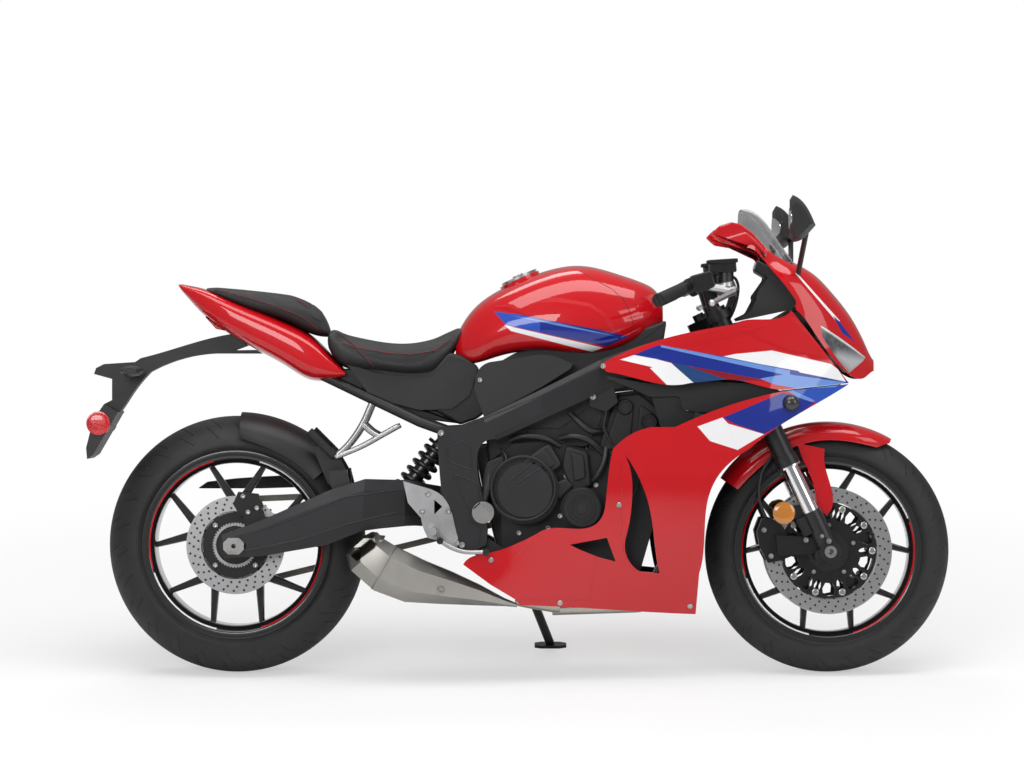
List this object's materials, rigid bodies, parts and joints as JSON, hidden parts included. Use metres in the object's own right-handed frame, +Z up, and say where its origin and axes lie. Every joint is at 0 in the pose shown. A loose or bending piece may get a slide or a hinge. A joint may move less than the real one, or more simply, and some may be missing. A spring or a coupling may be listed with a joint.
{
  "type": "sport motorcycle",
  "caption": "Fully faired road motorcycle with clip-on bars, cast wheels, twin-spar frame, chain drive, low silencer and two seats, leaning on its side stand.",
  "frame": {"origin": "middle of the leaning machine's overall footprint, on the ground", "axes": "+X forward along the wheels' line, +Y to the rider's left, +Z up"},
  "size_m": [2.1153, 0.7647, 1.1978],
  "materials": {
    "white_wheel": "gloss with rim stripes",
    "tyre_rubber": "matt",
    "disc_steel": "brushed",
    "steel": "satin",
    "fork_black": "satin black",
    "cast_alloy": "satin",
    "grip_rubber": "matt",
    "red_paint": "gloss paint",
    "caliper_paint": "satin black",
    "frame_metal": "satin dark paint",
    "cap_metal": "satin",
    "engine_paint": "satin dark grey",
    "radiator_alloy": "satin black",
    "header_steel": "polished",
    "silencer_metal": "satin",
    "black_plastic": "satin",
    "tank_paint": "gloss paint with red and blue stripes",
    "seat_cover": "matt with red stitching",
    "white_paint": "gloss paint with red and blue stripes",
    "clear_glass": "clear",
    "smoked_screen": "lightly tinted",
    "red_lens": "clear red",
    "mirror_shell": "satin",
    "chain_steel": "oiled"
  },
  "bodies": {
    "chassis": {"frame_head": "frame_metal", "frame_spar_right": "frame_metal", "frame_spar_left": "frame_metal", "swingarm": "frame_metal", "rear_axle": "steel", "pivot_bolt": "steel", "crankcase": "engine_paint", "cylinder_block": "engine_paint", "engine_covers": "engine_paint", "radiator": "radiator_alloy", "exhaust_pipes": "header_steel", "silencer": "silencer_metal", "seat_tray": "black_plastic", "airbox": "black_plastic", "side_covers": "black_plastic", "seat_rail": "frame_metal", "fuel_tank": "tank_paint", "tail_cowl": "red_paint", "rider_seat": "seat_cover", "passenger_seat": "seat_cover", "fairing_upper": "white_paint", "fairing_side": "white_paint", "fairing_belly": "red_paint", "nose_cowl": "white_paint", "headlamps": "clear_glass", "windscreen": "smoked_screen", "fairing_stay": "black_plastic", "rear_hugger": "black_plastic", "rear_caliper": "caliper_paint", "tail_lamp": "red_lens", "plate_carrier": "black_plastic", "rear_indicators": "black_plastic", "mirrors": "mirror_shell", "rider_footrests": "cast_alloy", "passenger_footrests": "cast_alloy", "stand_bracket": "frame_metal", "chain": "chain_steel"},
    "front_wheel": {"front_rim": "white_wheel", "front_tyre": "tyre_rubber", "front_discs": "disc_steel"},
    "rear_wheel": {"rear_rim": "white_wheel", "rear_tyre": "tyre_rubber", "rear_disc": "disc_steel", "rear_sprocket": "steel"},
    "steering": {"fork_legs": "fork_black", "front_axle": "steel", "fork_yokes": "cast_alloy", "handlebars": "fork_black", "grips": "grip_rubber", "brake_and_clutch_controls": "cast_alloy", "front_fender": "red_paint", "front_calipers": "caliper_paint"},
    "side_stand": {"side_stand": "frame_metal"},
    "fuel_cap": {"fuel_cap": "cap_metal"}
  },
  "joints": [
    {"name": "steering_turn", "type": "hinge", "parent": "chassis", "child": "steering", "pos_m": [0.7234, -0.12965, 0.2807], "axis": [-0.4305, 0.1567, 0.8889], "range_deg": [-27, 27]},
    {"name": "front_wheel_spin", "type": "hinge", "parent": "steering", "child": "front_wheel", "pos_m": [0.7577, -0.12681, 0.29681], "axis": [0, 0.9848, -0.1736], "continuous": true},
    {"name": "rear_wheel_spin", "type": "hinge", "parent": "chassis", "child": "rear_wheel", "pos_m": [-0.6923, -0.1242, 0.31158], "axis": [0, 0.9848, -0.1736], "continuous": true},
    {"name": "side_stand_fold", "type": "hinge", "parent": "chassis", "child": "side_stand", "pos_m": [0.00745, -0.01748, 0.21426], "axis": [-0.16, 0.9853, 0.0598], "range_deg": [0, 95]},
    {"name": "fuel_cap_lid", "type": "hinge", "parent": "chassis", "child": "fuel_cap", "pos_m": [0.04022, -0.00726, 0.97478], "axis": [0, 0.9848, -0.1736], "range_deg": [0, 90]}
  ]
}
